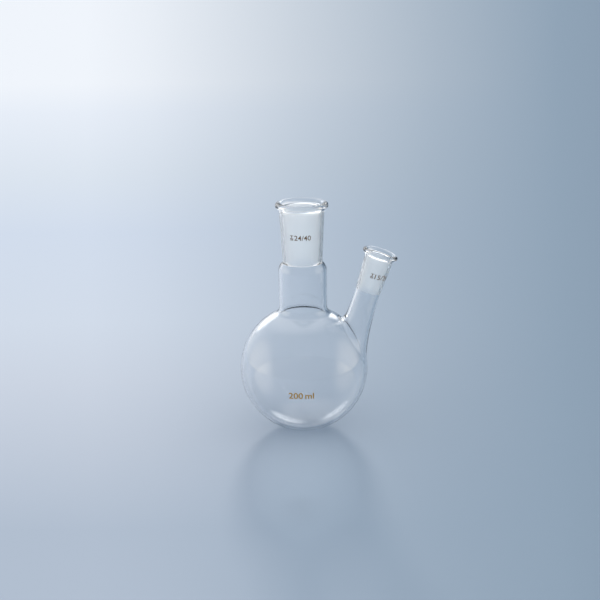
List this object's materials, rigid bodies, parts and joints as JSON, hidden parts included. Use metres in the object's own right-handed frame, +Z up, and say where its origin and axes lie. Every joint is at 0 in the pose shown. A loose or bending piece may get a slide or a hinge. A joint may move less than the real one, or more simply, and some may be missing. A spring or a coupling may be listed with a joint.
{
  "type": "two neck round bottom flask",
  "caption": "Round bottom laboratory flask of clear glass with a centre neck and a leaning side neck, each ending in a ground conical socket.",
  "frame": {"origin": "lowest point of the round bulb, on the axis of the centre neck", "axes": "+Z up the axis of the centre neck, +X towards the leaning side neck, +Y away from the side that carries the print"},
  "size_m": [0.0986, 0.08, 0.1462],
  "materials": {
    "glass": "clear, with ground matte sockets"
  },
  "bodies": {
    "root": {"flask": "glass"}
  },
  "joints": []
}
